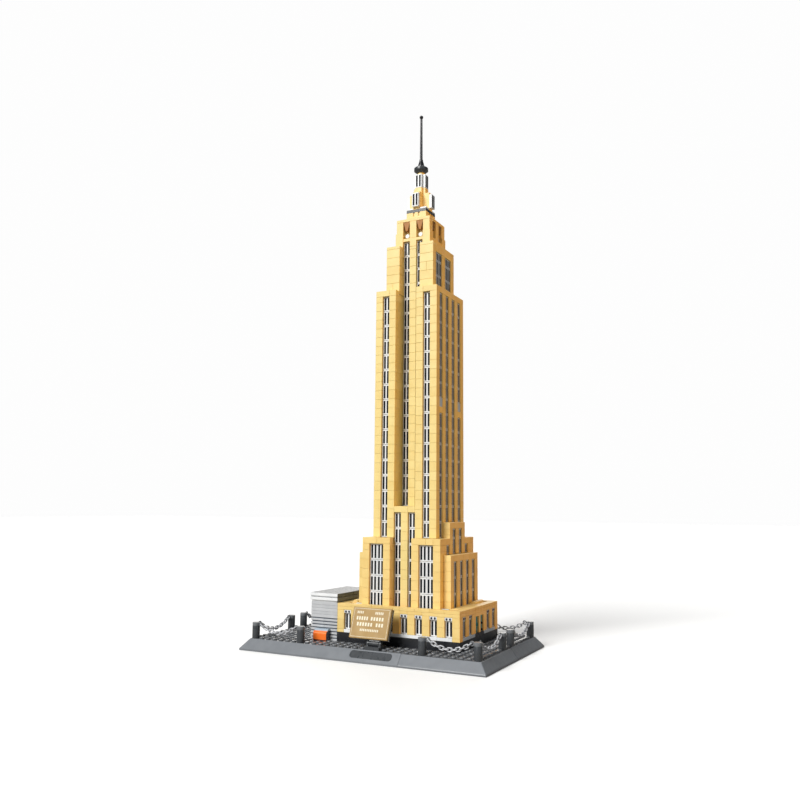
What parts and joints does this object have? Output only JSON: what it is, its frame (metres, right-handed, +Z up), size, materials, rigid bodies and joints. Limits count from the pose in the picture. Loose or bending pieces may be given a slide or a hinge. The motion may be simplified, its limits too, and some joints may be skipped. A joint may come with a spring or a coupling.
{
  "type": "miniature landmark model",
  "caption": "Brick-built model of a stepped skyscraper on a studded base, with a hinged sign, swinging chains on posts, opening doors and a turning mast.",
  "frame": {"origin": "centre of the base at the level it stands on", "axes": "+X to the right along the front, +Y from the front to the back, +Z up"},
  "size_m": [0.272, 0.176, 0.5912],
  "materials": {
    "tan_plastic": "smooth moulded",
    "black_plastic": "smooth moulded",
    "border_grey": "smooth moulded",
    "dark_grey": "smooth moulded",
    "light_grey": "smooth moulded",
    "chain_grey": "smooth moulded",
    "white_plastic": "smooth moulded",
    "brown_plastic": "smooth moulded",
    "sign_gold": "printed",
    "teal_plastic": "smooth moulded",
    "orange_plastic": "smooth moulded",
    "pale_blue": "smooth moulded"
  },
  "bodies": {
    "building": {"annex_body": "light_grey", "annex_roof": "light_grey", "base_plate": "black_plastic", "base_underframe": "black_plastic", "border_back_left": "border_grey", "border_back_right": "border_grey", "border_front_left": "border_grey", "border_front_right": "border_grey", "border_panel": "dark_grey", "centre_low_walls": "tan_plastic", "corner_blocks": "tan_plastic", "crown_base": "tan_plastic", "crown_buttons": "white_plastic", "crown_cap": "tan_plastic", "crown_hoppers": "brown_plastic", "crown_piers": "tan_plastic", "door_clips": "black_plastic", "door_frame": "tan_plastic", "fence_posts": "dark_grey", "kiosk_base": "black_plastic", "kiosk_body": "orange_plastic", "kiosk_canopy": "pale_blue", "lantern_block": "tan_plastic", "lantern_plate": "dark_grey", "low_windows": "white_plastic", "podium_cornice": "tan_plastic", "podium_deck": "tan_plastic", "podium_heads": "white_plastic", "podium_plinth": "black_plastic", "podium_sills": "light_grey", "podium_walls": "tan_plastic", "podium_windows": "white_plastic", "post_caps": "light_grey", "roof_lamps": "light_grey", "roof_strip": "tan_plastic", "shaft_centre": "tan_plastic", "shaft_left_wing": "tan_plastic", "shaft_right_wing": "tan_plastic", "shaft_windows": "white_plastic", "side_blocks": "tan_plastic", "side_windows": "white_plastic", "sign_bracket": "dark_grey", "spire_arms": "tan_plastic", "spire_core": "tan_plastic", "spire_tiles": "white_plastic", "upper_tier": "tan_plastic"},
    "sign": {"sign_back": "white_plastic", "sign_face": "sign_gold"},
    "door_front": {"door_leaf_front": "teal_plastic"},
    "door_back": {"door_leaf_back": "teal_plastic"},
    "dish": {"dish": "dark_grey"},
    "mast": {"mast": "black_plastic"},
    "chain_front_left": {"chain_front_left": "chain_grey"},
    "chain_front_right": {"chain_front_right": "chain_grey"},
    "chain_back_left": {"chain_back_left": "chain_grey"},
    "chain_back_right": {"chain_back_right": "chain_grey"},
    "chain_left_front": {"chain_left_front": "chain_grey"},
    "chain_left_back": {"chain_left_back": "chain_grey"},
    "chain_right_front": {"chain_right_front": "chain_grey"},
    "chain_right_back": {"chain_right_back": "chain_grey"}
  },
  "joints": [
    {"name": "sign_tilt", "type": "hinge", "parent": "building", "child": "sign", "pos_m": [0.016, -0.074, 0.0168], "axis": [1, 0, 0], "range_deg": [-12, 25]},
    {"name": "door_front_swing", "type": "hinge", "parent": "building", "child": "door_front", "pos_m": [0.0939, -0.0088, 0.032], "axis": [0, 0, -1], "range_deg": [0, 85]},
    {"name": "door_back_swing", "type": "hinge", "parent": "building", "child": "door_back", "pos_m": [0.0939, 0.0088, 0.032], "axis": [0, 0, 1], "range_deg": [0, 85]},
    {"name": "dish_spin", "type": "hinge", "parent": "building", "child": "dish", "pos_m": [0.028, 0, 0.5216], "axis": [0, 0, 1], "continuous": true},
    {"name": "mast_spin", "type": "hinge", "parent": "dish", "child": "mast", "pos_m": [0.028, 0, 0.528], "axis": [0, 0, 1], "continuous": true},
    {"name": "chain_front_left_swing", "type": "hinge", "parent": "building", "child": "chain_front_left", "pos_m": [-0.124, -0.076, 0.0256], "axis": [1, 0, 0], "range_deg": [-20, 20]},
    {"name": "chain_front_right_swing", "type": "hinge", "parent": "building", "child": "chain_front_right", "pos_m": [0.068, -0.076, 0.0256], "axis": [1, 0, 0], "range_deg": [-20, 20]},
    {"name": "chain_back_left_swing", "type": "hinge", "parent": "building", "child": "chain_back_left", "pos_m": [-0.124, 0.076, 0.0256], "axis": [1, 0, 0], "range_deg": [-20, 20]},
    {"name": "chain_back_right_swing", "type": "hinge", "parent": "building", "child": "chain_back_right", "pos_m": [0.068, 0.076, 0.0256], "axis": [1, 0, 0], "range_deg": [-20, 20]},
    {"name": "chain_left_front_swing", "type": "hinge", "parent": "building", "child": "chain_left_front", "pos_m": [-0.124, -0.076, 0.0256], "axis": [0, 1, 0], "range_deg": [-20, 20]},
    {"name": "chain_left_back_swing", "type": "hinge", "parent": "building", "child": "chain_left_back", "pos_m": [-0.124, 0.012, 0.0256], "axis": [0, 1, 0], "range_deg": [-20, 20]},
    {"name": "chain_right_front_swing", "type": "hinge", "parent": "building", "child": "chain_right_front", "pos_m": [0.124, -0.076, 0.0256], "axis": [0, 1, 0], "range_deg": [-20, 20]},
    {"name": "chain_right_back_swing", "type": "hinge", "parent": "building", "child": "chain_right_back", "pos_m": [0.124, 0.012, 0.0256], "axis": [0, 1, 0], "range_deg": [-20, 20]}
  ]
}
